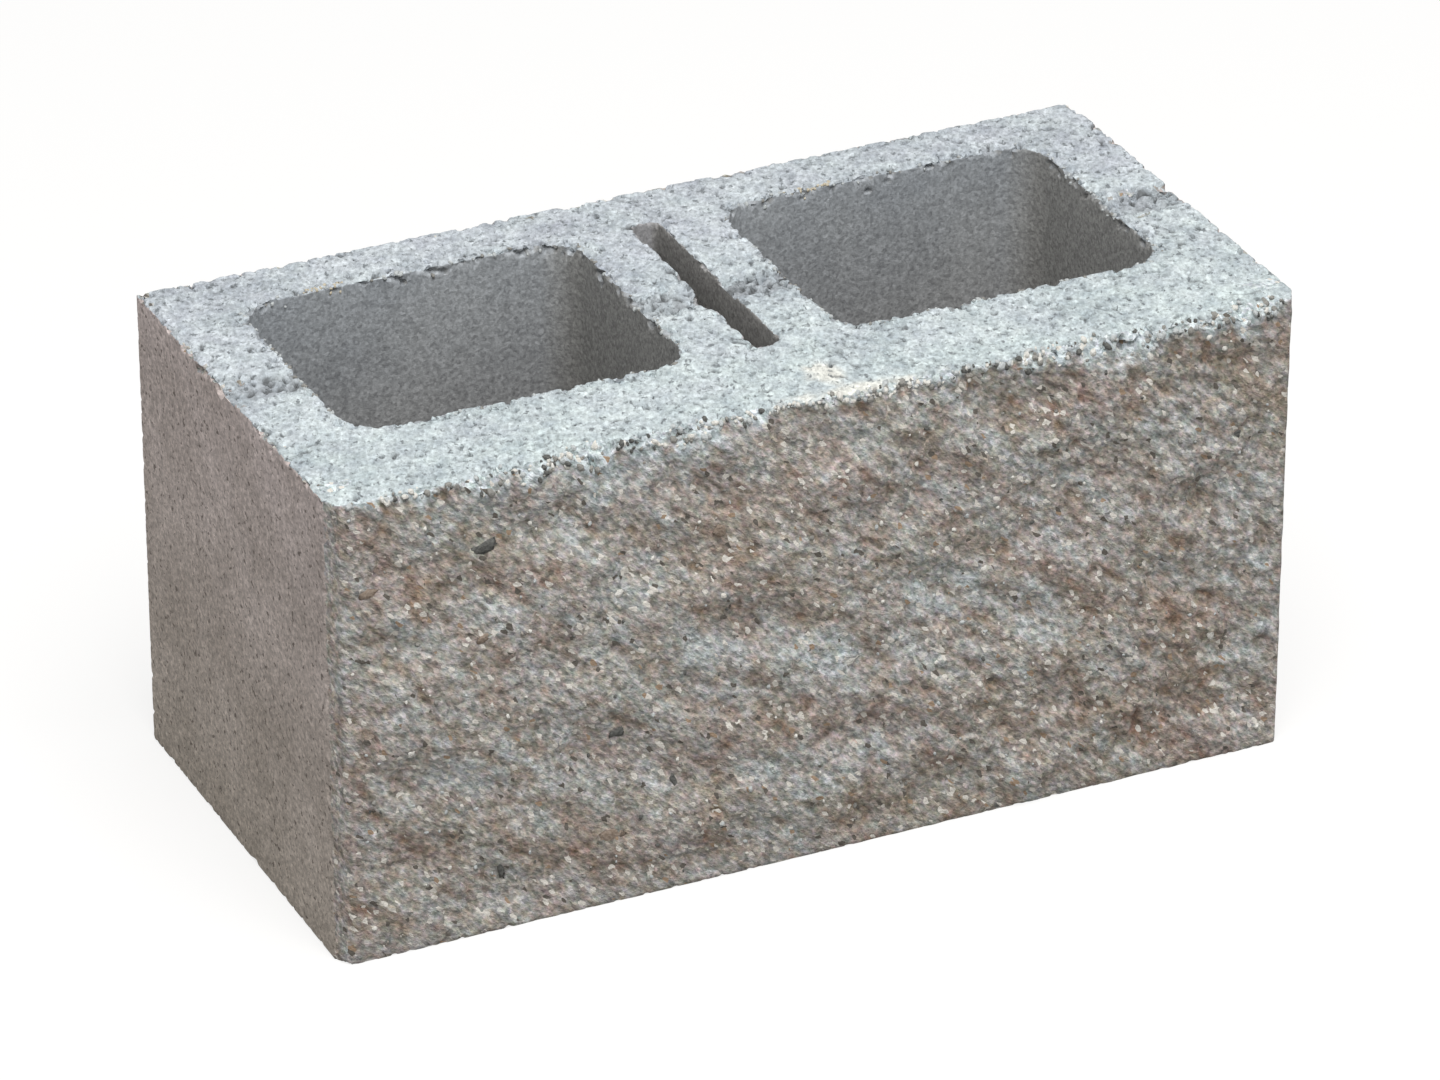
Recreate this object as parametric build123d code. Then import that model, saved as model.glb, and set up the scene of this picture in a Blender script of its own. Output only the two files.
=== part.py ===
from build123d import *
import os
from math import ceil, cos, pi, radians, sin

# A split-face concrete masonry block with two cores and a kerf through its centre web.
# It is cast as one piece, then split along its front, so one face is moulded and one is broken.
# Millimetres. The origin is under the middle of the block, +X runs along its length,
# +Y points to the moulded back face, and the broken face looks along -Y.

# Overall size: the nominal 16 x 8 x 8 inch unit, less one 3/8 inch mortar joint each way
LENGTH = 396.9
DEPTH = 193.7  # from the back face to the foremost crest of the broken face
HEIGHT = 193.7

# Walls at the top, where the cores are widest
END_WEB = 30.3
INNER_WEB = 25.4  # centre web on each side of the kerf
BACK_SHELL = 26.5
FRONT_SHELL = 55.0  # to the foremost crest; thick, because its outer part is broken away

# Cores, which narrow downwards so that the block slips off its mould, and the straight kerf
CORE_CORNER = 16.0
CORE_DRAFT = 1.0  # degrees
KERF_WIDTH = 11.1
KERF_CORNER = 3.0

# Shallow recess that the bar carrying the mould's cores leaves across the webs
BAR_WIDTH = 16.0
BAR_DEPTH = 1.2
BAR_FROM_BACK = 91.0  # back face to the middle of the recess

# Half of the moulded groove that starts the split, left on each front corner
GROOVE_ALONG = 4.0  # in from the end face
GROOVE_BACK = 7.5  # back from the split line

# Waves of the broken face: height, crest to crest length, heading in degrees from +X
# towards +Z, and phase in degrees
SPLIT_WAVES = [
    (1.3, 230.0, 62.0, 40.0),
    (0.9, 140.0, -18.0, 205.0),
    (0.7, 96.0, 104.0, 310.0),
    (0.5, 68.0, 38.0, 85.0),
    (0.5, 57.0, -52.0, 150.0),
    (0.5, 47.0, 82.0, 260.0),
    (0.45, 41.0, 118.0, 20.0),
    (0.45, 35.0, 58.0, 170.0),
    (0.4, 31.0, 92.0, 95.0),
    (0.35, 27.0, 68.0, 230.0),
]
SPLIT_FADE = 20.0  # the waves die out over this width at the grooves and at the foot
SPLIT_STEP = 6.0  # spacing of the points that the broken face is drawn through
CREST_STEP = 1.5  # spacing of the points that its highest crest is looked for at
OVERCUT = 20.0  # how far the cutting shapes pass the block

# Plan of the top face
core_length = (LENGTH - 2 * END_WEB - 2 * INNER_WEB - KERF_WIDTH) / 2
core_depth = DEPTH - BACK_SHELL - FRONT_SHELL
core_x = (KERF_WIDTH + core_length) / 2 + INNER_WEB
core_y = (FRONT_SHELL - BACK_SHELL) / 2
groove_x = LENGTH / 2 - GROOVE_ALONG


def ease(distance):
    """Rise smoothly from 0 to 1 over the width in which the waves die out."""
    share = min(max(distance / SPLIT_FADE, 0), 1)
    return share * share * (3 - 2 * share)


def split_height(x, z):
    """Height of the broken face over its split line at one point of the front."""
    waves = 0
    for height, length, heading, phase in SPLIT_WAVES:
        along = x * cos(radians(heading)) + z * sin(radians(heading))
        waves += height * sin(2 * pi * along / length + radians(phase))
    return waves * ease(groove_x - abs(x)) * ease(z)


def even_steps(start, end, spacing):
    """Evenly spaced values from start to end, no further apart than the spacing."""
    count = ceil((end - start) / spacing)
    return [start + (end - start) * step / count for step in range(count + 1)]


def hole_through(x, length, depth, corner, draft=0):
    """Cutting shape of a hole through the block, which narrows from the top down by its draft."""
    mouth = Plane((x, core_y, HEIGHT)) * RectangleRounded(length, depth, corner)
    return extrude(mouth, -(HEIGHT + OVERCUT), taper=draft)


# Broken face: a spline surface through the waves, with its highest crest at the front plane
across = even_steps(-groove_x, groove_x, CREST_STEP)
upwards = even_steps(0, HEIGHT, CREST_STEP)
crest = max(split_height(x, z) for x in across for z in upwards)
columns = even_steps(-LENGTH / 2 - OVERCUT, LENGTH / 2 + OVERCUT, SPLIT_STEP)
rows = even_steps(-OVERCUT, HEIGHT + OVERCUT, SPLIT_STEP)
split_line = -DEPTH / 2 + crest
split_points = [[(x, split_line - split_height(x, z), z) for x in columns] for z in rows]
split_face = Face.make_surface_from_array_of_points(split_points)
broken_away = extrude(split_face, amount=2 * OVERCUT, dir=(0, -1, 0))

# Moulded outline: a plain back and ends, and a groove flank on each front corner that runs on
# past the split line, into what is broken away
flank_end_y = -DEPTH / 2 - OVERCUT
flank_end_x = groove_x - (split_line - flank_end_y) * GROOVE_ALONG / GROOVE_BACK
outline = Polyline(
    (-LENGTH / 2, DEPTH / 2),
    (LENGTH / 2, DEPTH / 2),
    (LENGTH / 2, split_line + GROOVE_BACK),
    (flank_end_x, flank_end_y),
    (-flank_end_x, flank_end_y),
    (-LENGTH / 2, split_line + GROOVE_BACK),
    close=True,
)
block = extrude(make_face(outline), HEIGHT)
block -= broken_away

# Two cores and the kerf between them
for x in (-core_x, core_x):
    block -= hole_through(x, core_length, core_depth, CORE_CORNER, CORE_DRAFT)
block -= hole_through(0, KERF_WIDTH, core_depth, KERF_CORNER)

# Recess of the core bar, straight across the three webs
bar_place = Pos(0, DEPTH / 2 - BAR_FROM_BACK, HEIGHT)
block -= bar_place * Box(LENGTH + OVERCUT, BAR_WIDTH, 2 * BAR_DEPTH)

os.makedirs("parts", exist_ok=True)
export_step(block, "parts/concrete_block.step")
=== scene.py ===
from math import cos, exp, radians, sin
from random import Random

import bmesh
import bpy
from mathutils import Euler, Matrix, Vector, kdtree, noise
from mathutils.bvhtree import BVHTree


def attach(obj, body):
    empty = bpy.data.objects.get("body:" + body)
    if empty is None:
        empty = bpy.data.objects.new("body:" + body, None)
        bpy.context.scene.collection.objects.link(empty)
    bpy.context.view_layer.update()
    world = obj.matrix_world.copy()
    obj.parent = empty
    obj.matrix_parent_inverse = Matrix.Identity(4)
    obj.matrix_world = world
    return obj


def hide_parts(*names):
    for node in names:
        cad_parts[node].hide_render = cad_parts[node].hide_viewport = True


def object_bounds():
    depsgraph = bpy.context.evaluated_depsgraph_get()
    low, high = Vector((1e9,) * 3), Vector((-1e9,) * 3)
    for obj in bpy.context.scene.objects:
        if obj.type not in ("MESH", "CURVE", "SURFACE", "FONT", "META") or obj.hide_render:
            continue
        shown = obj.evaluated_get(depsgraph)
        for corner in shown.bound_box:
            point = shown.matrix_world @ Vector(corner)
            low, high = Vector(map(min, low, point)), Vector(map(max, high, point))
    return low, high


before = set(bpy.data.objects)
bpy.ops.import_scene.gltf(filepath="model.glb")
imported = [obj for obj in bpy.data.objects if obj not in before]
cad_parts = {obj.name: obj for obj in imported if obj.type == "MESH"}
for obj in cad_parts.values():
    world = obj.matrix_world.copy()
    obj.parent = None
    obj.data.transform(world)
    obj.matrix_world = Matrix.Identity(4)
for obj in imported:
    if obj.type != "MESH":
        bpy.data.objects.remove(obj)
cad_low, cad_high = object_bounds()

# The scene is in metres. Sizes below are in millimetres, and MM turns them into metres.
MM = 0.001
NODE = "concrete_block"
LOW = cad_low / MM
HIGH = cad_high / MM

# Zones of the block
FRONT_ZONE = LOW.y + 14.0  # the broken face lies in front of this
FRONT_FROM, FRONT_FULL = 0.2, 0.6  # from how far a surface there looks forwards
TOP_ZONE = HIGH.z - 3.0  # the struck top lies above this
TOP_FROM, TOP_FULL = 0.3, 0.7  # from how far a surface there looks up
TOP_ARRIS = HIGH.z - 1.0  # the arrises of the top face lie above this
BAR_ARRIS = HIGH.z - 2.0  # and those of the bar's recess above this
CRUMBLE_ZONE = 24.0  # how far down and back the top front arris can have crumbled
CORES_LEFT, CORES_RIGHT = -169.5, 169.5  # the cores and the kerf lie within this box
CORES_FRONT, CORES_BACK = -43.0, 71.5
BAR_FRONT, BAR_BACK = -2.15, 13.85  # recess of the core bar across the webs
BAR_OUT, BAR_IN = 1.0, 1.5  # its roughness starts outside its edges and is full inside them
KERF_LEFT = -5.55  # left wall of the kerf
KERF_ZONE = 12.0  # the kerf's rims lie within this of the middle
CORE_X, CORE_Y = 99.55, 14.25  # middle of the right core; the left one mirrors it
CORE_HALF = 68.6, 56.1  # half of its mouth along x and y

# Mesh
VOXEL = 1.0  # spacing of the fine mesh
TRIANGLES = 190000  # what the finished piece is thinned to
MERGE_GAP = 0.001  # vertices of the solid that lie closer are merged
SHARP_ANGLE = 25.0  # an edge of the solid that turns by more is an arris
CRISP_ANGLE = 55.0  # edges of the finished mesh that turn by more stay crisp
RAY_START = 20.0  # the rays that seat stones and grains start this far outside the block
# What each vertex keeps for the materials: three zones, then shades
SHARES = ("broken", "struck", "inner", "pit", "hollow", "chip", "broad", "cream")

# Relief of the broken face: size and height of each kind of form
LAY = radians(-44.0)  # its ledges run down to the right
LAY_STRETCH = 1.7  # and are longer than they are high
CLUMP_STRETCH = 2.6  # the stains along them are longer still
PLATE_SIZE, PLATE_RISE = 11.0, 1.8
CHIP_SIZE, CHIP_RISE = 5.5, 1.8
GRIT_SIZE, GRIT_RISE = 3.0, 0.5
CHIP_SHIFT = Vector((90.0, 0.0, 20.0))  # so that the chips don't follow the plates
PLATE_TILT, PLATE_STEP = 1.5, 0.6  # how much the plates slope and step
STEP_SHARPNESS = 10.0
CELL_SCATTER = 17.3  # gives neighbouring plates unlike slopes
BREAK_SETBACK = 0.5
VIGOUR, VIGOUR_GAIN = 0.75, 0.4  # the forms are lowest on the left and gain height to the right
VIGOUR_FROM, VIGOUR_TO = -60.0, 140.0  # between these places
CALM_SHARE = 0.25  # how much of their height they have beside the ends and the foot
CALM_FROM, CALM_TO = 1.0, 14.0  # they reach all of it between these distances from there
CREST_SOFTNESS = 2.0  # how softly crests level off at the front plane
HOLLOW_FROM, HOLLOW_FULL = 0.3, -1.3  # heights of the fine forms at which hollows start and end

# Relief of the struck top: its pores are drawn out along the way that it was struck off
DRAG = radians(-25.0)  # from +Y
DRAG_STRETCH = 1.5
PORE_SIZE, PORE_DEPTH = 2.6, 2.2
PORE_FROM, PORE_FULL = 0.44, 0.78  # levels of the noise at which a pore starts and is full
CLUSTER_SIZE, CLUSTER_WEIGHT = 16.0, 0.4
CLUSTER_SHIFT = Vector((40.0, 0.0, 0.0))
BAR_PORES = 0.35  # how many more pores the bar's recess has
TOP_ROUGH, BAR_ROUGH = 0.3, 0.6  # roughness of the top, and how much more the bar's recess has
TOP_GRAIN = 3.4  # size of its grain
FULL_PIT = 1.4  # depth at which a pore's painted shade is darkest

# Stretches of the top front arris that have broken away: middle, half width, drop and setback
BROKEN_ARRIS = [
    (-167.0, 18.0, 3.5, 2.0),
    (-137.0, 14.0, 8.0, 5.0),
    (-116.0, 14.0, 5.0, 3.5),
    (-95.0, 15.0, 9.0, 6.0),
    (-62.0, 26.0, 6.0, 4.0),
    (-30.0, 10.0, 5.0, 3.0),
    (8.0, 12.0, 4.0, 3.0),
    (22.0, 12.0, 5.0, 3.0),
    (46.0, 18.0, 3.5, 2.5),
    (68.0, 14.0, 2.5, 2.0),
    (91.0, 14.0, 8.0, 5.0),
    (122.0, 24.0, 9.0, 6.0),
    (152.0, 14.0, 5.0, 4.0),
    (176.0, 20.0, 6.0, 8.0),
]
LEAST_BREAK = 1.0  # drop and setback between them
FULL_BREAK = 0.4  # share of a stretch's half width over which it is fully broken
CRUMBLE_DROP, CRUMBLE_SETBACK = 0.75, 0.85  # how much of the drop and the setback counts
LEAST_RAGGED = 0.1  # of the raggedness that both are multiplied by
CRUMB_SIZE, CRUMB_RISE = 5.0, 1.6
CRUMB_GRIT_SIZE, CRUMB_GRIT_RISE = 2.6, 0.6
CHIP_FROM, CHIP_FULL = -1.6, 0.3  # how far outside the break its pale concrete, partly painted highlight, starts and is full
ARRIS_REACH = 12.0  # the top follows the broken face back over this width

# Wear of the other arrises: least depth, gain over the noise, and how much more of it counts
WEAR = {
    "kerf": (0.3, 3.0, 0.0),
    "core": (0.3, 5.2, 0.12),
    "top": (0.3, 4.0, 0.06),
    "side": (0.2, 1.6, 0.0),
}
WEAR_REACH, WEAR_SLOPE = 8.0, 0.7  # how far from the arris it reaches, and how fast it thins out
BARE_WEAR = 0.5  # an outer top arris that is worn deeper shows broken concrete

# Place beside the bar where the kerf's left wall is torn away
TEAR_DEPTH = 5.0
TEAR_REACH = 8.0  # to each side of the wall
TEAR_DOWN, TEAR_FULL_DOWN = 22.0, 6.0  # where it starts and is deepest, below the top
TEAR_FRONT, TEAR_FULL_FRONT = -8.5, -5.5  # and from the front
TEAR_BACK, TEAR_FULL_BACK = 12.5, -3.0  # and from the back

# Longer scars in the struck top: middle x and y, half length, half width, depth, heading in degrees
SCARS = [
    (-184.0, -44.5, 5.0, 0.9, 2.2, 4.0),
    (-190.0, -49.0, 3.0, 1.0, 1.8, -20.0),
    (-77.0, -74.0, 3.4, 0.9, 2.0, -25.0),
    (12.0, -77.0, 4.5, 1.3, 2.0, -35.0),
    (185.0, -81.5, 10.0, 0.8, 1.8, 3.0),
    (-5.0, 69.0, 4.0, 2.4, 2.6, 0.0),
]
SCAR_REACH = 14.0  # no scar reaches further from its middle

# Stones that show in the broken face: middle x and z, half length, half height, heading in
# degrees, and kind
STONES = [
    (-138.0, 164.0, 5.5, 2.2, 8.0, "dark"),
    (173.0, 140.0, 3.4, 2.2, 0.0, "dark"),
    (-85.0, 72.5, 3.0, 1.8, 10.0, "dark"),
    (-63.0, 47.0, 1.4, 3.4, 15.0, "dark"),
    (-133.0, 26.0, 1.2, 4.4, 5.0, "dark"),
    (165.0, 54.8, 1.6, 2.6, 10.0, "white"),
    (10.0, 80.3, 3.2, 1.8, 15.0, "white"),
    (67.5, 105.0, 2.0, 1.5, 20.0, "white"),
    (-84.5, 131.5, 1.8, 1.5, 0.0, "white"),
    (-170.0, 86.0, 1.7, 1.3, 30.0, "white"),
    (-184.0, 155.0, 3.4, 2.0, 10.0, "rusty"),
    (-139.5, 126.8, 3.0, 1.5, 20.0, "rusty"),
    (-42.5, 147.4, 3.6, 2.2, -10.0, "rusty"),
    (-88.5, 29.0, 4.6, 2.8, 0.0, "rusty"),
]
STONE_HALF_THICKNESS = 0.5
STONE_LUMPS, LUMP_SCALE = 0.8, 1.8  # how lumpy the stones are, and how fine their lumps
LUMP_SHIFT = 9.0  # gives each stone lumps of its own

# Broad patches of the broken face, browner or paler than the rest: middle x and z, half length,
# half height, heading in degrees, and how much paler
TONE_PATCHES = [
    (-145.0, 149.0, 52.0, 12.0, -5.0, -0.8),
    (-42.0, 143.0, 34.0, 27.0, 80.0, -0.6),
    (0.0, 113.0, 15.0, 12.0, -30.0, -0.8),
    (52.0, 126.0, 34.0, 9.0, -28.0, -0.6),
    (80.0, 170.0, 17.0, 9.0, -20.0, -0.7),
    (176.0, 161.0, 30.0, 8.0, -38.0, -0.7),
    (130.0, 80.0, 54.0, 13.0, -30.0, -0.9),
    (152.0, 24.0, 38.0, 20.0, -15.0, -0.9),
    (-22.0, 57.0, 38.0, 11.0, -5.0, -0.8),
    (70.0, 47.0, 56.0, 11.0, -12.0, -0.7),
    (-97.0, 26.0, 26.0, 17.0, -25.0, -0.9),
    (-168.0, 48.0, 28.0, 10.0, -20.0, -0.6),
    (-85.0, 125.0, 14.0, 22.0, -20.0, 0.6),
    (-50.0, 97.0, 16.0, 15.0, -20.0, 0.8),
    (1.0, 83.0, 24.0, 11.0, -30.0, 0.9),
    (58.0, 97.0, 34.0, 14.0, -15.0, 0.7),
    (146.0, 149.0, 15.0, 11.0, -20.0, 0.8),
    (-155.0, 69.0, 34.0, 10.0, -15.0, 0.6),
    (-95.0, 181.0, 62.0, 13.0, 4.0, 1.0),
]

# Smears of cream paste on the struck top: middle x and y, half length, half width
CREAM_SMEARS = [(16.0, -91.0, 30.0, 6.0), (8.0, -74.0, 7.0, 10.0)]

# Coarse grains that stand out of the broken face, its top arris and the rims of the cores, and
# crumbs of paste: how many there are, of which kinds, and half the length of the largest
GRAINS = {"face": 320, "arris": 400, "rim": 260, "crumb": 60}
GRAIN_KINDS = {
    "face": 4 * ("pale", "grey") + 3 * ("buff", "white") + ("dark",),
    "arris": ("pale", "pale", "white", "white", "grey", "dark"),
    "rim": ("pale", "pale", "grey"),
    "crumb": ("cream",),
}
LARGEST_GRAIN = {"face": 1.7, "arris": 2.6, "rim": 1.7, "crumb": 1.4}
SMALLEST_GRAIN, USUAL_GRAIN = 0.6, 0.8
GRAIN_WIDTH, GRAIN_HEIGHT = 0.75, 0.6  # shares of its length
LEAST_LUMP, LARGEST_LUMP = 0.75, 1.2  # how far in or out its corners lie
GRAIN_MARGIN = 7.0  # from the ends of the block
GRAIN_FALL = 5.0  # a grain that would land deeper below the top is left out
FULL_TURN = 6.3  # in radians
CRUMBS = ((-131.0, 70.5), (72.0, 70.5))  # where crumbs of paste hang on the back rims
DOWN, INWARD = Vector((0.0, 0.0, -1.0)), Vector((0.0, 1.0, 0.0))


def smoothstep(low, high, value):
    """Rise smoothly from 0 at low to 1 at high."""
    share = min(max((value - low) / (high - low), 0.0), 1.0)
    return share * share * (3.0 - 2.0 * share)


def fbm(point, size, octaves):
    """Layered noise about 0, with features of the given size in millimetres."""
    return noise.fractal(point / size, 1.0, 2.0, octaves)


def arris_tree(solid):
    """Tree of points along every sharp edge of the solid."""
    points = []
    for edge in solid.edges:
        if edge.calc_face_angle(0.0) < radians(SHARP_ANGLE):
            continue
        start, end = (vert.co / MM for vert in edge.verts)
        count = max(1, round((end - start).length))
        points += [start.lerp(end, step / count) for step in range(count + 1)]
    tree = kdtree.KDTree(len(points))
    for index, point in enumerate(points):
        tree.insert(point, index)
    tree.balance()
    return tree


def plates(point, size):
    """Tilted plates, as a brittle break leaves them, with steps between neighbours."""
    place = point / size
    distances, centres = noise.voronoi(place)
    total = 0.0
    weights = 0.0
    for distance, centre in zip(distances, centres):
        weight = exp(-STEP_SHARPNESS * (distance - distances[0]))
        tilt = noise.cell_vector(centre * CELL_SCATTER) - Vector((0.5, 0.5, 0.5))
        total += weight * (PLATE_TILT * tilt.dot(place - centre) + PLATE_STEP * tilt.y)
        weights += weight
    return total / weights


def break_move(point):
    """How far the broken face lies behind the solid's waves, in millimetres, and how hollow it is
    there, from 0 to 1."""
    along = point.x * cos(LAY) + point.z * sin(LAY)
    across = point.z * cos(LAY) - point.x * sin(LAY)
    laid = Vector((along / LAY_STRETCH, 0.0, across))
    fine = CHIP_RISE * plates(laid + CHIP_SHIFT, CHIP_SIZE)
    fine += GRIT_RISE * fbm(point, GRIT_SIZE, 2)
    forms = PLATE_RISE * plates(laid, PLATE_SIZE) + fine
    edge = min(HIGH.x - abs(point.x), point.z)
    vigour = VIGOUR + VIGOUR_GAIN * smoothstep(VIGOUR_FROM, VIGOUR_TO, point.x)
    calm = CALM_SHARE + (1.0 - CALM_SHARE) * smoothstep(CALM_FROM, CALM_TO, edge)
    forms = (vigour * forms - BREAK_SETBACK) * calm
    room = point.y - forms - LOW.y
    room = 0.5 * (room + (room * room + CREST_SOFTNESS) ** 0.5)
    return LOW.y + room - point.y, smoothstep(HOLLOW_FROM, HOLLOW_FULL, fine)


def broad_tone(point):
    """How much paler than the rest the broken face is at one point, from -1 to 1."""
    ragged = 0.3 * fbm(point, 14.0, 4)
    tone = 0.0
    for x, z, half_length, half_height, heading, paler in TONE_PATCHES:
        east, rise = point.x - x, point.z - z
        if abs(east) > 1.5 * half_length + half_height or abs(rise) > 1.5 * half_height + half_length:
            continue
        turn = radians(heading)
        along = (east * cos(turn) + rise * sin(turn)) / half_length
        across = (rise * cos(turn) - east * sin(turn)) / half_height
        tone += paler * smoothstep(1.4, 0.3, (along * along + across * across) ** 0.5 + ragged)
    return min(max(tone, -1.0), 1.0)


def cream_share(point):
    """How much cream paste covers the top at one point, from 0 to 1."""
    ragged = 0.5 * fbm(point, 6.0, 3)
    share = 0.0
    for x, y, half_length, half_width in CREAM_SMEARS:
        distance = (((point.x - x) / half_length) ** 2 + ((point.y - y) / half_width) ** 2) ** 0.5
        share = max(share, smoothstep(1.3, 0.4, distance + ragged))
    return share


def arris_break(x):
    """Drop and setback of the crumbled top front arris at one place along it."""
    drop = setback = LEAST_BREAK
    for middle, half_width, chip_drop, chip_setback in BROKEN_ARRIS:
        share = smoothstep(half_width, FULL_BREAK * half_width, abs(x - middle))
        drop = max(drop, chip_drop * share)
        setback = max(setback, chip_setback * share)
    along = Vector((x, 0.0, 0.0))
    beside = Vector((x, 9.0, 0.0))
    ragged = 1.0 + 0.8 * fbm(along, 14.0, 2) + 0.7 * fbm(along, 5.0, 2)
    ragged_behind = ragged + 0.5 * fbm(beside, 6.0, 2)
    drop = CRUMBLE_DROP * drop * max(LEAST_RAGGED, ragged)
    return drop, CRUMBLE_SETBACK * setback * max(LEAST_RAGGED, ragged_behind)


def scar_depth(point):
    """Depth of the long scars in the top, in millimetres."""
    depth = 0.0
    for x, y, half_length, half_width, full_depth, heading in SCARS:
        east, north = point.x - x, point.y - y
        if abs(east) > SCAR_REACH or abs(north) > SCAR_REACH:
            continue
        turn = radians(heading)
        along = (east * cos(turn) + north * sin(turn)) / half_length
        bend = 0.5 * fbm(point, 4.0, 2)
        across = (north * cos(turn) - east * sin(turn) + bend) / half_width
        depth = max(depth, full_depth * max(0.0, 1.0 - along * along - across * across))
    return depth


def bar_share(y):
    """1 inside the recess of the core bar, 0 outside it."""
    front_side = smoothstep(BAR_FRONT - BAR_OUT, BAR_FRONT + BAR_IN, y)
    return front_side * smoothstep(BAR_BACK + BAR_OUT, BAR_BACK - BAR_IN, y)


def pit_depth(point):
    """Depth of the open pores of the struck top, in millimetres."""
    along = point.y * cos(DRAG) - point.x * sin(DRAG)
    across = point.x * cos(DRAG) + point.y * sin(DRAG)
    pores = fbm(Vector((across, along / DRAG_STRETCH, 0.0)), PORE_SIZE, 3)
    clusters = CLUSTER_WEIGHT * fbm(point + CLUSTER_SHIFT, CLUSTER_SIZE, 2)
    level = pores + clusters + BAR_PORES * bar_share(point.y)
    return PORE_DEPTH * smoothstep(PORE_FROM, PORE_FULL, level)


def fine_copy():
    """The solid as an even, fine mesh, with the tree of its arrises."""
    solid = bmesh.new()
    solid.from_mesh(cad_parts[NODE].data)
    bmesh.ops.remove_doubles(solid, verts=solid.verts, dist=MERGE_GAP * MM)
    tree = arris_tree(solid)
    mesh = bpy.data.meshes.new("cast_block")
    solid.to_mesh(mesh)
    solid.free()
    piece = bpy.data.objects.new("cast_block", mesh)
    bpy.context.scene.collection.objects.link(piece)
    remesh = piece.modifiers.new("even_mesh", "REMESH")
    remesh.mode = "VOXEL"
    remesh.voxel_size = VOXEL * MM
    apply_modifiers(piece)
    return piece, tree


def apply_modifiers(piece):
    """Make the piece's modifiers part of its mesh."""
    graph = bpy.context.evaluated_depsgraph_get()
    mesh = bpy.data.meshes.new_from_object(piece.evaluated_get(graph))
    piece.modifiers.clear()
    piece.data = mesh


def in_cores(point):
    """Whether a point lies over or in the cores and the kerf."""
    return CORES_LEFT < point.x < CORES_RIGHT and CORES_FRONT < point.y < CORES_BACK


def is_rim(arris):
    """Whether a point of an arris is on the mouth of a core or of the kerf."""
    return in_cores(arris) and arris.z > BAR_ARRIS


def wear(point, arris):
    """How deep the nearest arris has crumbled, in millimetres."""
    ragged = 0.6 * fbm(point, 9.0, 2) + 1.2 * fbm(point, 4.0, 2)
    kind = "top" if arris.z > BAR_ARRIS else "side"
    if is_rim(arris):
        kind = "kerf" if abs(arris.x) < KERF_ZONE else "core"
    least, gain, more = WEAR[kind]
    return least + gain * max(0.0, ragged + more)


def kerf_bulge(point):
    """How far the kerf's left wall is torn away beside the bar, in millimetres."""
    if abs(point.x - KERF_LEFT) > TEAR_REACH or point.z < HIGH.z - TEAR_DOWN:
        return 0.0
    from_back = smoothstep(TEAR_BACK, TEAR_FULL_BACK, point.y)
    along = from_back * smoothstep(TEAR_FRONT, TEAR_FULL_FRONT, point.y)
    depth = smoothstep(HIGH.z - TEAR_DOWN, HIGH.z - TEAR_FULL_DOWN, point.z)
    near = 1.0 - smoothstep(1.0, TEAR_REACH, abs(point.x - KERF_LEFT))
    return TEAR_DEPTH * along * depth * near * (1.0 + 0.8 * fbm(point, 4.0, 2))


def relief(point, normal, arris, distance):
    """How far one point of the solid moves, in millimetres, and its share of each zone and shade."""
    front = smoothstep(FRONT_FROM, FRONT_FULL, -normal.y) if point.y < FRONT_ZONE else 0.0
    top = smoothstep(TOP_FROM, TOP_FULL, normal.z) if point.z > TOP_ZONE else 0.0
    at_front_arris = arris.y < FRONT_ZONE and arris.z > TOP_ARRIS
    move = Vector((0.0, 0.0, 0.0))
    share = dict.fromkeys(SHARES, 0.0)
    share["broken"] = front
    share["struck"] = top
    share["inner"] = 1.0 if in_cores(point) and top < 0.5 and point.z > 0.5 else 0.0
    if front > 0.0:
        back, hollow = break_move(point)
        move.y += front * back
        share["hollow"] = front * hollow
        share["broad"] = broad_tone(point)
    elif top > 0.0 and at_front_arris and distance < ARRIS_REACH:
        back, _ = break_move(arris)
        move.y += back * (1.0 - distance / ARRIS_REACH)
    if top > 0.0:
        hole = max(pit_depth(point), scar_depth(point))
        rough = TOP_ROUGH + BAR_ROUGH * bar_share(point.y)
        move.z -= top * (hole + rough * (1.0 + fbm(point, TOP_GRAIN, 3)))
        share["pit"] = min(1.0, hole / FULL_PIT)
        share["cream"] = cream_share(point)
    near_front = point.y < LOW.y + CRUMBLE_ZONE and point.z > HIGH.z - CRUMBLE_ZONE
    if near_front and max(front, top) > 0.0:
        crumble(point, distance if at_front_arris else None, move, share)
    elif distance < WEAR_REACH:
        worn = max(0.0, wear(point, arris) - WEAR_SLOPE * distance)
        move -= normal * worn
        if worn > BARE_WEAR and arris.z > TOP_ARRIS and not is_rim(arris):
            share["broken"] = 1.0
    move.x -= kerf_bulge(point)
    return move, share


def crumble(point, distance, move, share):
    """Break the top front arris away at a point of the top or the front. The distance is how far the
    arris is, or None where another arris is nearer."""
    front, top = share["broken"], share["struck"]
    drop, setback = arris_break(point.x)
    behind = 0.0
    if top > 0.5:
        behind = setback if distance is None else distance
    cut = 1.0 - (HIGH.z - point.z) / drop - behind / setback
    share["chip"] = smoothstep(CHIP_FROM, CHIP_FULL, cut)
    if cut > 0.0:
        grit = CRUMB_GRIT_RISE * fbm(point, CRUMB_GRIT_SIZE, 2)
        rough = max(0.0, 1.0 + CRUMB_RISE * plates(point, CRUMB_SIZE) + grit)
        move.z -= top * drop * cut * rough
        move.y += front * setback * cut * rough
        share["broken"] = 1.0


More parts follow.
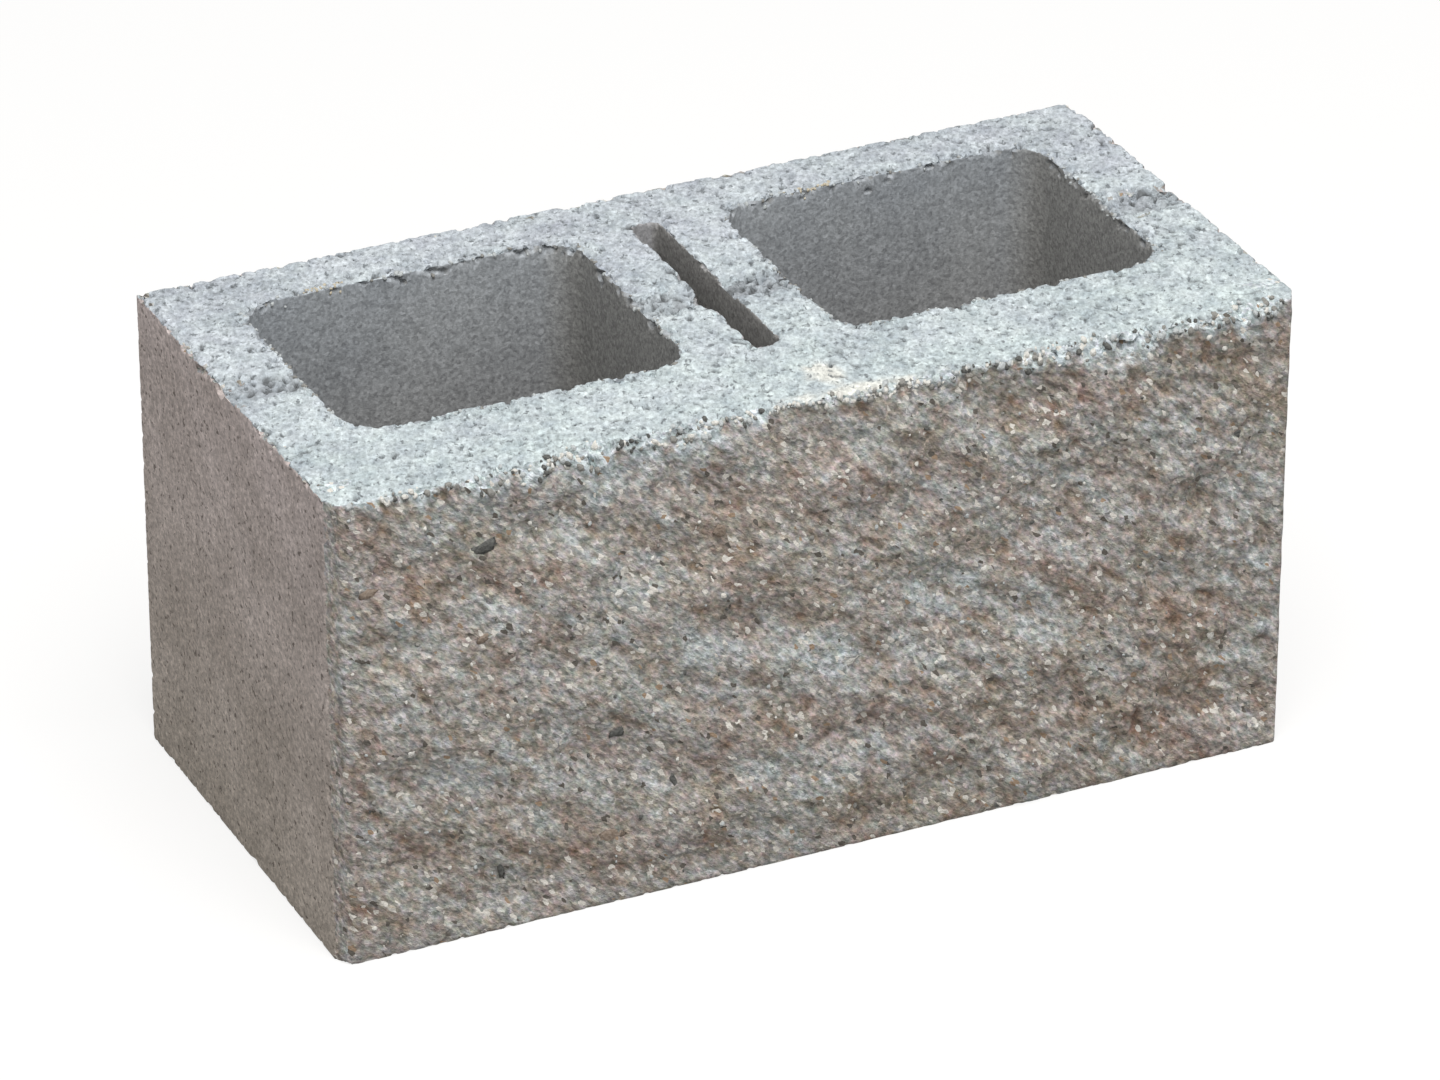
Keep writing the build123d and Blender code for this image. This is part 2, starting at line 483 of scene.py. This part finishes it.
def roughen(piece, tree):
    """Move the vertices of the fine mesh into the relief of broken, struck and moulded concrete."""
    mesh = bmesh.new()
    mesh.from_mesh(piece.data)
    mesh.normal_update()
    layers = {name: mesh.verts.layers.float.new(name) for name in SHARES}
    for vert in mesh.verts:
        point = vert.co / MM
        arris, _, distance = tree.find(point)
        move, share = relief(point, vert.normal.copy(), arris, distance)
        for name in SHARES:
            vert[layers[name]] = share[name]
        vert.co = (point + move) * MM
    mesh.to_mesh(piece.data)
    mesh.free()


def thin(piece):
    """Thin the mesh to its triangle budget, keep its arrises crisp and keep it inside the solid's box."""
    count = sum(len(face.vertices) - 2 for face in piece.data.polygons)
    decimate = piece.modifiers.new("thin", "DECIMATE")
    decimate.ratio = min(1.0, TRIANGLES / count)
    apply_modifiers(piece)
    keep_inside(piece.data)
    piece.data.shade_smooth()
    piece.data.set_sharp_from_angle(angle=radians(CRISP_ANGLE))
    shading = piece.modifiers.new("even_shading", "WEIGHTED_NORMAL")
    shading.keep_sharp = True
    apply_modifiers(piece)


def keep_inside(data):
    """Bring every vertex that lies outside the solid's box back to its side."""
    for vert in data.vertices:
        for axis in range(3):
            vert.co[axis] = min(max(vert.co[axis], cad_low[axis]), cad_high[axis])


def give_materials(piece, moulded, split, struck, core):
    """Give every face the finish of the way its surface was made."""
    data = piece.data
    for material in (moulded, split, struck, core):
        data.materials.append(material)
    zones = [data.attributes[name].data for name in ("broken", "struck", "inner")]
    for face in data.polygons:
        shares = [sum(zone[v].value for v in face.vertices) for zone in zones]
        shares.insert(0, len(face.vertices) - sum(shares))
        face.material_index = shares.index(max(shares))


def exposed_stones(block, materials):
    """Stones of the aggregate that show in the broken face, half sunk in it."""
    surface = BVHTree.FromObject(block, bpy.context.evaluated_depsgraph_get())
    mesh = bmesh.new()
    for number, (x, z, half_length, half_height, heading, kind) in enumerate(STONES):
        middle = surface.ray_cast(Vector((x, LOW.y - RAY_START, z)) * MM, INWARD)[0]
        verts = bmesh.ops.create_icosphere(mesh, subdivisions=2, radius=1.0)["verts"]
        turn = Matrix.Rotation(-radians(heading), 3, "Y")
        shift = Vector((LUMP_SHIFT * number, 0.0, 0.0))
        for vert in verts:
            lump = 1.0 + STONE_LUMPS * noise.noise(LUMP_SCALE * vert.co + shift)
            half_thickness = STONE_HALF_THICKNESS * vert.co.y
            sized = Vector((half_length * vert.co.x, half_thickness, half_height * vert.co.z))
            vert.co = middle + lump * (turn @ sized) * MM
        give_kind(verts, list(materials).index(kind))
    return grain_piece("exposed_stones", mesh, materials.values())


def bare_grains(block, materials):
    """Coarse grains of sand, half sunk in the broken face, its crumbled arris and the rims of the cores."""
    surface = BVHTree.FromObject(block, bpy.context.evaluated_depsgraph_get())
    draw = Random(5)
    mesh = bmesh.new()
    for spread, count in GRAINS.items():
        for _ in range(count):
            place, way = grain_place(spread, draw)
            middle = surface.ray_cast(place * MM, way)[0]
            if way.z < 0.0 and middle.z < (HIGH.z - GRAIN_FALL) * MM:
                continue
            verts = bmesh.ops.create_icosphere(mesh, subdivisions=1, radius=1.0)["verts"]
            turn = Euler([draw.uniform(0.0, FULL_TURN) for _ in range(3)]).to_matrix()
            length = draw.triangular(SMALLEST_GRAIN, LARGEST_GRAIN[spread], USUAL_GRAIN)
            width, height = GRAIN_WIDTH * length, GRAIN_HEIGHT * length
            for vert in verts:
                lump = draw.uniform(LEAST_LUMP, LARGEST_LUMP)
                sized = Vector((length * vert.co.x, width * vert.co.y, height * vert.co.z))
                vert.co = middle + lump * (turn @ sized) * MM
            give_kind(verts, list(materials).index(draw.choice(GRAIN_KINDS[spread])))
    return grain_piece("bare_grains", mesh, materials.values())


def give_kind(verts, kind):
    """Shade the stone that these vertices make smooth, in the material of its kind."""
    for face in {face for vert in verts for face in vert.link_faces}:
        face.material_index = kind
        face.smooth = True


def grain_place(spread, draw):
    """Where the ray that seats a grain starts, in millimetres, and which way it goes."""
    x = draw.uniform(LOW.x + GRAIN_MARGIN, HIGH.x - GRAIN_MARGIN)
    if spread == "rim":
        return rim_place(draw), DOWN
    if spread == "crumb":
        return crumb_place(draw), DOWN
    drop = HIGH.z - 6.0 if spread == "face" else 1.2 * arris_break(x)[0] + 1.0
    return Vector((x, LOW.y - RAY_START, HIGH.z - 0.5 - draw.random() * drop)), INWARD


def rim_place(draw):
    """A random place over the rim of a core, in millimetres."""
    side = draw.choice((-1.0, 1.0))
    width, depth = CORE_HALF
    out = draw.uniform(-0.6, 1.4)
    along = draw.uniform(-0.9, 0.9)
    x, y = draw.choice((
        (along * width, depth + out), (along * width, -depth - out),
        (width + out, along * depth), (-width - out, along * depth),
    ))
    return Vector((side * CORE_X + x, CORE_Y + y, HIGH.z + RAY_START))


def crumb_place(draw):
    """A random place over one of the heaps of crumbs, in millimetres."""
    x, y = draw.choice(CRUMBS)
    return Vector((draw.gauss(x, 6.0), draw.gauss(y, 1.2), HIGH.z + RAY_START))


def grain_piece(name, mesh, materials):
    """A piece of stones from their bmesh, kept inside the solid's box."""
    data = bpy.data.meshes.new(name)
    mesh.to_mesh(data)
    mesh.free()
    keep_inside(data)
    for material in materials:
        data.materials.append(material)
    piece = bpy.data.objects.new(name, data)
    bpy.context.scene.collection.objects.link(piece)
    return piece


def linear(code):
    """Linear colour with alpha from an sRGB hex value."""
    shares = [int(code[place:place + 2], 16) / 255.0 for place in (1, 3, 5)]
    return [s / 12.92 if s <= 0.04045 else ((s + 0.055) / 1.055) ** 2.4 for s in shares] + [1.0]


def add_node(tree, kind, inputs=(), output=0, **settings):
    """Add a node, set its properties and inputs, link the inputs that are sockets, return an output."""
    node = tree.nodes.new(kind)
    for name, value in settings.items():
        setattr(node, name, value)
    for socket, value in inputs.items() if isinstance(inputs, dict) else enumerate(inputs):
        if isinstance(value, bpy.types.NodeSocket):
            tree.links.new(value, node.inputs[socket])
        else:
            node.inputs[socket].default_value = linear(value) if isinstance(value, str) else value
    return node.outputs[output]


def dull_material(name):
    """A new dull material, its node tree, and its place in millimetres."""
    material = bpy.data.materials.new(name)
    material.use_nodes = True
    tree = material.node_tree
    shader = tree.nodes["Principled BSDF"]
    shader.inputs["Roughness"].default_value = 0.93
    shader.inputs["Specular IOR Level"].default_value = 0.3
    spot = add_node(tree, "ShaderNodeTexCoord", output="Object")
    scale = (1.0 / MM, 1.0 / MM, 1.0 / MM)
    place = add_node(tree, "ShaderNodeMapping", {"Vector": spot, "Scale": scale})
    return material, tree, place


def finish_surface(tree, colour, height, depth):
    """Give the shader its colour, and a fine relief of a depth in millimetres."""
    shader = tree.nodes["Principled BSDF"]
    tree.links.new(colour, shader.inputs["Base Color"])
    normal = add_node(tree, "ShaderNodeBump", {"Strength": 1.0, "Distance": depth * MM, "Height": height})
    tree.links.new(normal, shader.inputs["Normal"])


def crooked(tree, place, size, shift):
    """The place bent by small waves, both in millimetres, so that grains and pores aren't round."""
    inputs = {"Vector": place, "Scale": 1.0 / size, "Detail": 1.0}
    waves = add_node(tree, "ShaderNodeTexNoise", inputs, "Color")
    centred = add_node(tree, "ShaderNodeVectorMath", [waves, (0.5, 0.5, 0.5)], operation="SUBTRACT")
    reach = (2.0 * shift, 2.0 * shift, 2.0 * shift)
    return add_node(tree, "ShaderNodeVectorMath", [centred, reach, place], operation="MULTIPLY_ADD")


def patches(tree, place, size, detail):
    """Soft uneven patches of a size in millimetres, from 0 to 1."""
    inputs = {"Vector": place, "Scale": 1.0 / size, "Detail": detail, "Roughness": 0.62}
    cloud = add_node(tree, "ShaderNodeTexNoise", inputs)
    return add_node(tree, "ShaderNodeMapRange", [cloud, 0.3, 0.7, 0.0, 1.0])


def sand(tree, place, size):
    """Three random values, from 0 to 1, for each grain of sand of a size in millimetres."""
    cells = add_node(tree, "ShaderNodeTexVoronoi", {"Vector": place, "Scale": 1.0 / size}, "Color")
    return add_node(tree, "ShaderNodeSeparateColor", [cells]).node.outputs


def speckle(tree, place, size):
    """Pebbled speckle of grains of a size in millimetres: its lightness from 0 to 1, and its tints."""
    inputs = {"Vector": place, "Scale": 1.0 / size, "Detail": 2.5, "Roughness": 0.65}
    cloud = add_node(tree, "ShaderNodeTexNoise", inputs).node
    light = add_node(tree, "ShaderNodeMapRange", [cloud.outputs[0], 0.3, 0.7, 0.0, 1.0])
    return light, cloud.outputs["Color"]


def weighted_sum(tree, start, *parts):
    """A start value plus patterns, each given with its weight."""
    total = start
    for value, weight in parts:
        total = add_node(tree, "ShaderNodeMath", [value, weight, total], operation="MULTIPLY_ADD")
    return total


def shaded(tree, colour, *patterns):
    """The colour lightened and darkened by patterns from 0 to 1, each with its lightness at 0 and 1."""
    for value, low, high in patterns:
        level = add_node(tree, "ShaderNodeMapRange", [value, 0.0, 1.0, low, high])
        colour = add_node(tree, "ShaderNodeMixRGB", [1.0, colour, level], blend_type="MULTIPLY")
    return colour


def flecked(tree, colour, draw, *flecks):
    """Single grains in other colours: those whose random value lies between two limits."""
    for low, high, code in flecks:
        limits = [draw, (low + high) / 2, (high - low) / 2]
        chosen = add_node(tree, "ShaderNodeMath", limits, operation="COMPARE")
        colour = add_node(tree, "ShaderNodeMixRGB", [chosen, colour, code])
    return colour


# Dry-cast concrete where it was split: a fresh granular break of sand and paste. Its crumbled arris
# is pale, partly as painted highlight; the facets that look up are painted pale and cool as if lit
# from above, its hollows are darkened as painted shade, its broad stains are brown, and single
# grains show white, buff or dark.
def split_concrete():
    material, tree, place = dull_material("split_concrete")
    laid = add_node(
        tree, "ShaderNodeMapping",
        {"Vector": place, "Rotation": (0.0, -LAY, 0.0), "Scale": (LAY_STRETCH, 1.0, 1.0)},
        vector_type="TEXTURE",
    )
    drawn = add_node(
        tree, "ShaderNodeMapping",
        {"Vector": place, "Rotation": (0.0, -LAY, 0.0), "Scale": (CLUMP_STRETCH, 1.0, 1.0)},
        vector_type="TEXTURE",
    )
    bent = crooked(tree, laid, size=1.8, shift=0.5)
    # Painted light: facets that look up are made paler and cooler, as if lit by sky light from above, and
    # those that look down browner
    normal = add_node(tree, "ShaderNodeNewGeometry", output="Normal")
    up = add_node(tree, "ShaderNodeSeparateXYZ", [normal], "Z")
    painted_toplight = add_node(tree, "ShaderNodeMapRange", [up, -0.6, 0.7, 0.0, 1.0])
    # Painted shade: the hollows of the relief are darkened through the tone below
    hollow = add_node(tree, "ShaderNodeAttribute", output="Fac", attribute_name="hollow")
    # Pale crumbled arris: fresh broken concrete, and partly painted highlight of the light that its
    # upturned break catches
    chip = add_node(tree, "ShaderNodeAttribute", output="Fac", attribute_name="chip")
    broad = add_node(tree, "ShaderNodeAttribute", output="Fac", attribute_name="broad")
    clumps = patches(tree, drawn, size=11.0, detail=4.0)
    small = patches(tree, laid, size=4.0, detail=3.0)
    tone = weighted_sum(
        tree, 0.19, (painted_toplight, 0.08), (broad, 0.14), (clumps, 0.31), (small, 0.22), (hollow, -0.18),
        (chip, 0.32),
    )
    elsewhere = add_node(tree, "ShaderNodeMapping", {"Vector": laid, "Location": (210.0, 0.0, 80.0)})
    hue = patches(tree, elsewhere, size=30.0, detail=3.0)
    dark = add_node(tree, "ShaderNodeMixRGB", [hue, "#907e6b", "#94796b"])
    middle = add_node(tree, "ShaderNodeMixRGB", [hue, "#aba59a", "#b0a6a0"])
    to_middle = add_node(tree, "ShaderNodeMapRange", [tone, 0.15, 0.42, 0.0, 1.0])
    colour = add_node(tree, "ShaderNodeMixRGB", [to_middle, dark, middle])
    to_pale = add_node(tree, "ShaderNodeMapRange", [tone, 0.42, 0.78, 0.0, 1.0])
    colour = add_node(tree, "ShaderNodeMixRGB", [to_pale, colour, "#c7d0d2"])
    light, kind, _ = sand(tree, bent, size=1.5)
    fine, tint = speckle(tree, laid, size=1.9)
    colour = add_node(tree, "ShaderNodeMixRGB", [0.18, colour, tint], blend_type="OVERLAY")
    colour = shaded(tree, colour, (light, 0.71, 1.29), (fine, 0.57, 1.40))
    colour = flecked(
        tree, colour, kind, (0.0, 0.012, "#6b665f"), (0.965, 1.0, "#e6e1d8"), (0.94, 0.946, "#a8917b"),
    )
    finish_surface(tree, colour, fine, depth=0.5)
    return material


# Dry-cast concrete struck off at the top of its mould: pale and open-grained, its cool blue tint
# painted sky light, with dark pores between the grains whose darkness is painted shade, a smear of
# cream paste, a faint lavender tint towards the back, painted shade towards the back of the cores,
# and a rougher, darker band where the core bar was drawn out, its darkness partly painted shade.
def struck_concrete():
    material, tree, place = dull_material("struck_concrete")
    dragged = add_node(
        tree, "ShaderNodeMapping",
        {"Vector": place, "Rotation": (0.0, 0.0, DRAG), "Scale": (1.0, DRAG_STRETCH, 1.0)},
        vector_type="TEXTURE",
    )
    bent = crooked(tree, dragged, size=1.8, shift=0.8)
    small = patches(tree, dragged, size=5.0, detail=3.0)
    large = patches(tree, place, size=26.0, detail=2.0)
    tone = weighted_sum(tree, 0.0, (small, 0.62), (large, 0.4))
    y = add_node(tree, "ShaderNodeSeparateXYZ", [place], "Y")
    behind = add_node(tree, "ShaderNodeMapRange", [y, -80.0, 50.0, 0.0, 1.0])
    hue = weighted_sum(tree, -0.1, (patches(tree, place, size=18.0, detail=3.0), 0.5), (behind, 0.5))
    # Painted light: the cool blue of these greys stands in for sky light falling on the top
    dark = add_node(tree, "ShaderNodeMixRGB", [hue, "#a9b5ba", "#adb1bb"])
    pale = add_node(tree, "ShaderNodeMixRGB", [hue, "#e1ecea", "#e3e8ee"])
    colour = add_node(tree, "ShaderNodeMixRGB", [tone, dark, pale])
    cream = add_node(tree, "ShaderNodeAttribute", output="Fac", attribute_name="cream")
    colour = add_node(tree, "ShaderNodeMixRGB", [cream, colour, "#ebebe3"])
    light = sand(tree, dragged, size=1.4)[0]
    fine, _ = speckle(tree, dragged, size=1.6)
    # Painted shade: the top darkens towards the back of the cores, as the light falls off there
    far = add_node(tree, "ShaderNodeMapRange", [y, CORES_BACK - 20.0, CORES_BACK, 0.0, 1.0])
    colour = shaded(tree, colour, (light, 0.83, 1.14), (fine, 0.70, 1.20), (far, 1.0, 0.95))
    # Darker band of torn concrete where the core bar was drawn out, its darkness partly painted shade of
    # its pits and of the step at its edge
    front_side = add_node(tree, "ShaderNodeMapRange", [y, BAR_FRONT - 1.0, BAR_FRONT + 2.0, 0.0, 0.65])
    back_side = add_node(tree, "ShaderNodeMapRange", [y, BAR_BACK - 2.0, BAR_BACK + 1.0, 1.0, 0.0])
    band = add_node(tree, "ShaderNodeMath", [front_side, back_side], operation="MULTIPLY")
    rags = patches(tree, bent, size=5.0, detail=3.0)
    torn = add_node(tree, "ShaderNodeMath", [band, rags], operation="MULTIPLY")
    colour = add_node(tree, "ShaderNodeMixRGB", [torn, colour, "#7d7f84"])
    # Painted shade: dark specks in the gaps between grains stand in for the shade in its pores
    gaps = patches(tree, bent, size=2.8, detail=3.0)
    pores = add_node(tree, "ShaderNodeMapRange", [gaps, 0.30, 0.10, 0.0, 0.85])
    colour = add_node(tree, "ShaderNodeMixRGB", [pores, colour, "#6f7477"])
    # Painted shade: the pores and scars of the mesh are darkened by their depth
    pit = add_node(tree, "ShaderNodeAttribute", output="Fac", attribute_name="pit")
    painted_pit_shade = add_node(tree, "ShaderNodeMapRange", [pit, 0.1, 0.8, 0.0, 0.85])
    colour = add_node(tree, "ShaderNodeMixRGB", [painted_pit_shade, colour, "#666869"])
    finish_surface(tree, colour, fine, depth=0.4)
    return material


# Dry-cast concrete pressed against steel: smooth and brown grey, its warmth partly painted warm
# bounce light, a little duller at the foot, with fine upright streaks from stripping the mould and
# sparse pores whose darkness is painted shade.
def moulded_concrete():
    material, tree, place = dull_material("moulded_concrete")
    # Partly painted light: the warmth of these browns stands in for warm bounce light on the sides
    clouds = patches(tree, place, size=50.0, detail=4.0)
    colour = add_node(tree, "ShaderNodeMixRGB", [clouds, "#beb2ad", "#dccfcc"])
    z = add_node(tree, "ShaderNodeSeparateXYZ", [place], "Z")
    height = add_node(tree, "ShaderNodeMapRange", [z, LOW.z, HIGH.z, 0.0, 1.0])
    duller_at_foot = add_node(tree, "ShaderNodeMixRGB", [height, "#e9ebe1", "#ffffff"])
    colour = add_node(tree, "ShaderNodeMixRGB", [1.0, colour, duller_at_foot], blend_type="MULTIPLY")
    upright = add_node(tree, "ShaderNodeMapping", {"Vector": place, "Scale": (1.0, 1.0, 0.2)})
    streaks = patches(tree, upright, size=2.4, detail=2.0)
    spread = add_node(tree, "ShaderNodeMapping", {"Vector": place, "Scale": (0.85, 0.85, 1.0)})
    bent = crooked(tree, spread, size=1.8, shift=0.8)
    mottle = patches(tree, bent, size=4.0, detail=2.0)
    light = sand(tree, spread, size=1.5)[0]
    fine, _ = speckle(tree, spread, size=1.7)
    colour = shaded(
        tree, colour, (streaks, 0.95, 1.05), (mottle, 0.89, 1.11), (light, 0.82, 1.18), (fine, 0.76, 1.24),
    )
    # Painted shade: sparse dark specks stand in for the shade in its pores
    gaps = patches(tree, bent, size=2.6, detail=2.0)
    pores = add_node(tree, "ShaderNodeMapRange", [gaps, 0.24, 0.06, 0.0, 0.8])
    colour = add_node(tree, "ShaderNodeMixRGB", [pores, colour, "#5f5750"])
    finish_surface(tree, colour, fine, depth=0.2)
    return material


# The same concrete drawn off the tapered cores of the mould: blue grey with an even fine grain,
# browner further down, darker and browner on the walls that look to the left as painted shade, and
# grey in the kerf.
def core_wall_concrete():
    material, tree, place = dull_material("core_wall_concrete")
    clouds = patches(tree, place, size=40.0, detail=3.0)
    cool = add_node(tree, "ShaderNodeMixRGB", [clouds, "#9ea3a8", "#adb1b4"])
    z = add_node(tree, "ShaderNodeSeparateXYZ", [place], "Z")
    lower = add_node(tree, "ShaderNodeMapRange", [z, HIGH.z, 60.0, 0.0, 0.9])
    colour = add_node(tree, "ShaderNodeMixRGB", [lower, cool, "#9b9691"])
    x = add_node(tree, "ShaderNodeSeparateXYZ", [place], "X")
    from_middle = add_node(tree, "ShaderNodeMath", [x], operation="ABSOLUTE")
    kerf = add_node(tree, "ShaderNodeMapRange", [from_middle, 14.0, 16.0, 0.8, 0.0])
    colour = add_node(tree, "ShaderNodeMixRGB", [kerf, colour, "#aaa8a9"])
    # Painted shade: walls that look to the left are made darker and browner, as if less lit
    normal = add_node(tree, "ShaderNodeNewGeometry", output="Normal")
    sideways = add_node(tree, "ShaderNodeSeparateXYZ", [normal], "X")
    painted_shade_left = add_node(tree, "ShaderNodeMapRange", [sideways, -0.2, -0.9, 0.0, 0.75])
    colour = add_node(tree, "ShaderNodeMixRGB", [painted_shade_left, colour, "#96948f"])
    light = sand(tree, place, size=1.5)[0]
    fine, _ = speckle(tree, place, size=1.3)
    colour = shaded(tree, colour, (light, 0.79, 1.21), (fine, 0.74, 1.26))
    finish_surface(tree, colour, fine, depth=0.1)
    return material


# Stones of the aggregate, cut or laid bare by the split: dull and nearly one colour, so that they
# stand out from the grain around them.
def stone(name, first, second):
    material, tree, place = dull_material(name)
    fine, _ = speckle(tree, place, size=1.2)
    colour = add_node(tree, "ShaderNodeMixRGB", [fine, first, second])
    finish_surface(tree, colour, fine, depth=0.3)
    return material


def seen_directly(tree):
    """1 for what the camera sees, straight or by reflection or through glass, and 0 for light."""
    path = add_node(tree, "ShaderNodeLightPath").node
    seen = path.outputs["Is Camera Ray"]
    for ray in ("Is Glossy Ray", "Is Transmission Ray"):
        seen = add_node(tree, "ShaderNodeMath", [seen, path.outputs[ray]], operation="MAXIMUM")
    return seen


def stage_floor(half_width, glow):
    """Pale floor that the camera sees as white, with the block's soft shadow on it."""
    mesh = bmesh.new()
    bmesh.ops.create_grid(mesh, x_segments=1, y_segments=1, size=half_width)
    data = bpy.data.meshes.new("floor")
    mesh.to_mesh(data)
    mesh.free()
    floor = bpy.data.objects.new("floor", data)
    bpy.context.scene.collection.objects.link(floor)
    material = bpy.data.materials.new("pale_floor")
    material.use_nodes = True
    tree = material.node_tree
    shader = tree.nodes["Principled BSDF"]
    shader.inputs["Base Color"].default_value = linear("#949391")
    shader.inputs["Roughness"].default_value = 1.0
    shader.inputs["Specular IOR Level"].default_value = 0.0
    shader.inputs["Emission Color"].default_value = linear("#ffffff")
    level = add_node(tree, "ShaderNodeMath", [seen_directly(tree), glow], operation="MULTIPLY")
    tree.links.new(level, shader.inputs["Emission Strength"])
    data.materials.append(material)


def world_light(strength):
    """Even light from all round, with a white background for the camera."""
    world = bpy.data.worlds.new("studio")
    bpy.context.scene.world = world
    world.use_nodes = True
    tree = world.node_tree
    background = tree.nodes["Background"]
    background.inputs["Color"].default_value = linear("#ffffff")
    level = add_node(tree, "ShaderNodeMapRange", [seen_directly(tree), 0.0, 1.0, strength, 1.0])
    tree.links.new(level, background.inputs["Strength"])


def area_lamp(name, place, aim, size, power):
    """Square soft lamp at a place, turned to its aim."""
    lamp = bpy.data.lights.new(name, "AREA")
    lamp.size = size
    lamp.energy = power
    lamp_object = bpy.data.objects.new(name, lamp)
    lamp_object.location = place
    lamp_object.rotation_euler = (Vector(aim) - Vector(place)).to_track_quat("-Z", "Y").to_euler()
    bpy.context.scene.collection.objects.link(lamp_object)


def camera():
    """Long-lens camera at the front left, looking down on the block."""
    azimuth = radians(-25.197)
    elevation = radians(28.499)
    aim = Vector((-1.601, -2.870, 90.962)) * MM
    distance = 3000.0 * MM
    back = Vector((sin(azimuth) * cos(elevation), -cos(azimuth) * cos(elevation), sin(elevation)))
    data = bpy.data.cameras.new("camera")
    data.sensor_width = 36.0
    data.lens = 195.88
    view = bpy.data.objects.new("camera", data)
    view.location = aim + distance * back
    view.rotation_euler = back.to_track_quat("Z", "Y").to_euler()
    bpy.context.scene.collection.objects.link(view)
    bpy.context.scene.camera = view


block, arrises = fine_copy()
roughen(block, arrises)
thin(block)
give_materials(block, moulded_concrete(), split_concrete(), struck_concrete(), core_wall_concrete())
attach(block, "root")
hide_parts(NODE)

stone_kinds = {
    "dark": stone("broken_trap_rock", "#50514f", "#7a7a76"),
    "white": stone("broken_quartz", "#d2cfc6", "#f4f2ec"),
    "rusty": stone("broken_rusty_sandstone", "#837364", "#a6978a"),
}
grain_kinds = {
    "dark": stone_kinds["dark"],
    "white": stone_kinds["white"],
    "pale": stone("washed_limestone_sand", "#b4b8b8", "#d2d6d5"),
    "buff": stone("washed_buff_sand", "#9c958c", "#b9b2aa"),
    "grey": stone("washed_grey_sand", "#898782", "#a9a7a1"),
    "cream": stone("crumbled_paste", "#c2b79f", "#dcd3bf"),
}
for piece in (exposed_stones(block, stone_kinds), bare_grains(block, grain_kinds)):
    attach(piece, "root")

# Stage, light and camera, in metres and watts
stage_floor(half_width=6.0, glow=0.74)
world_light(strength=0.42)
area_lamp("key", place=(-0.2, -0.9, 2.1), aim=(0.0, 0.0, 0.1), size=1.6, power=42.0)
camera()
bpy.context.scene.view_settings.view_transform = "Standard"
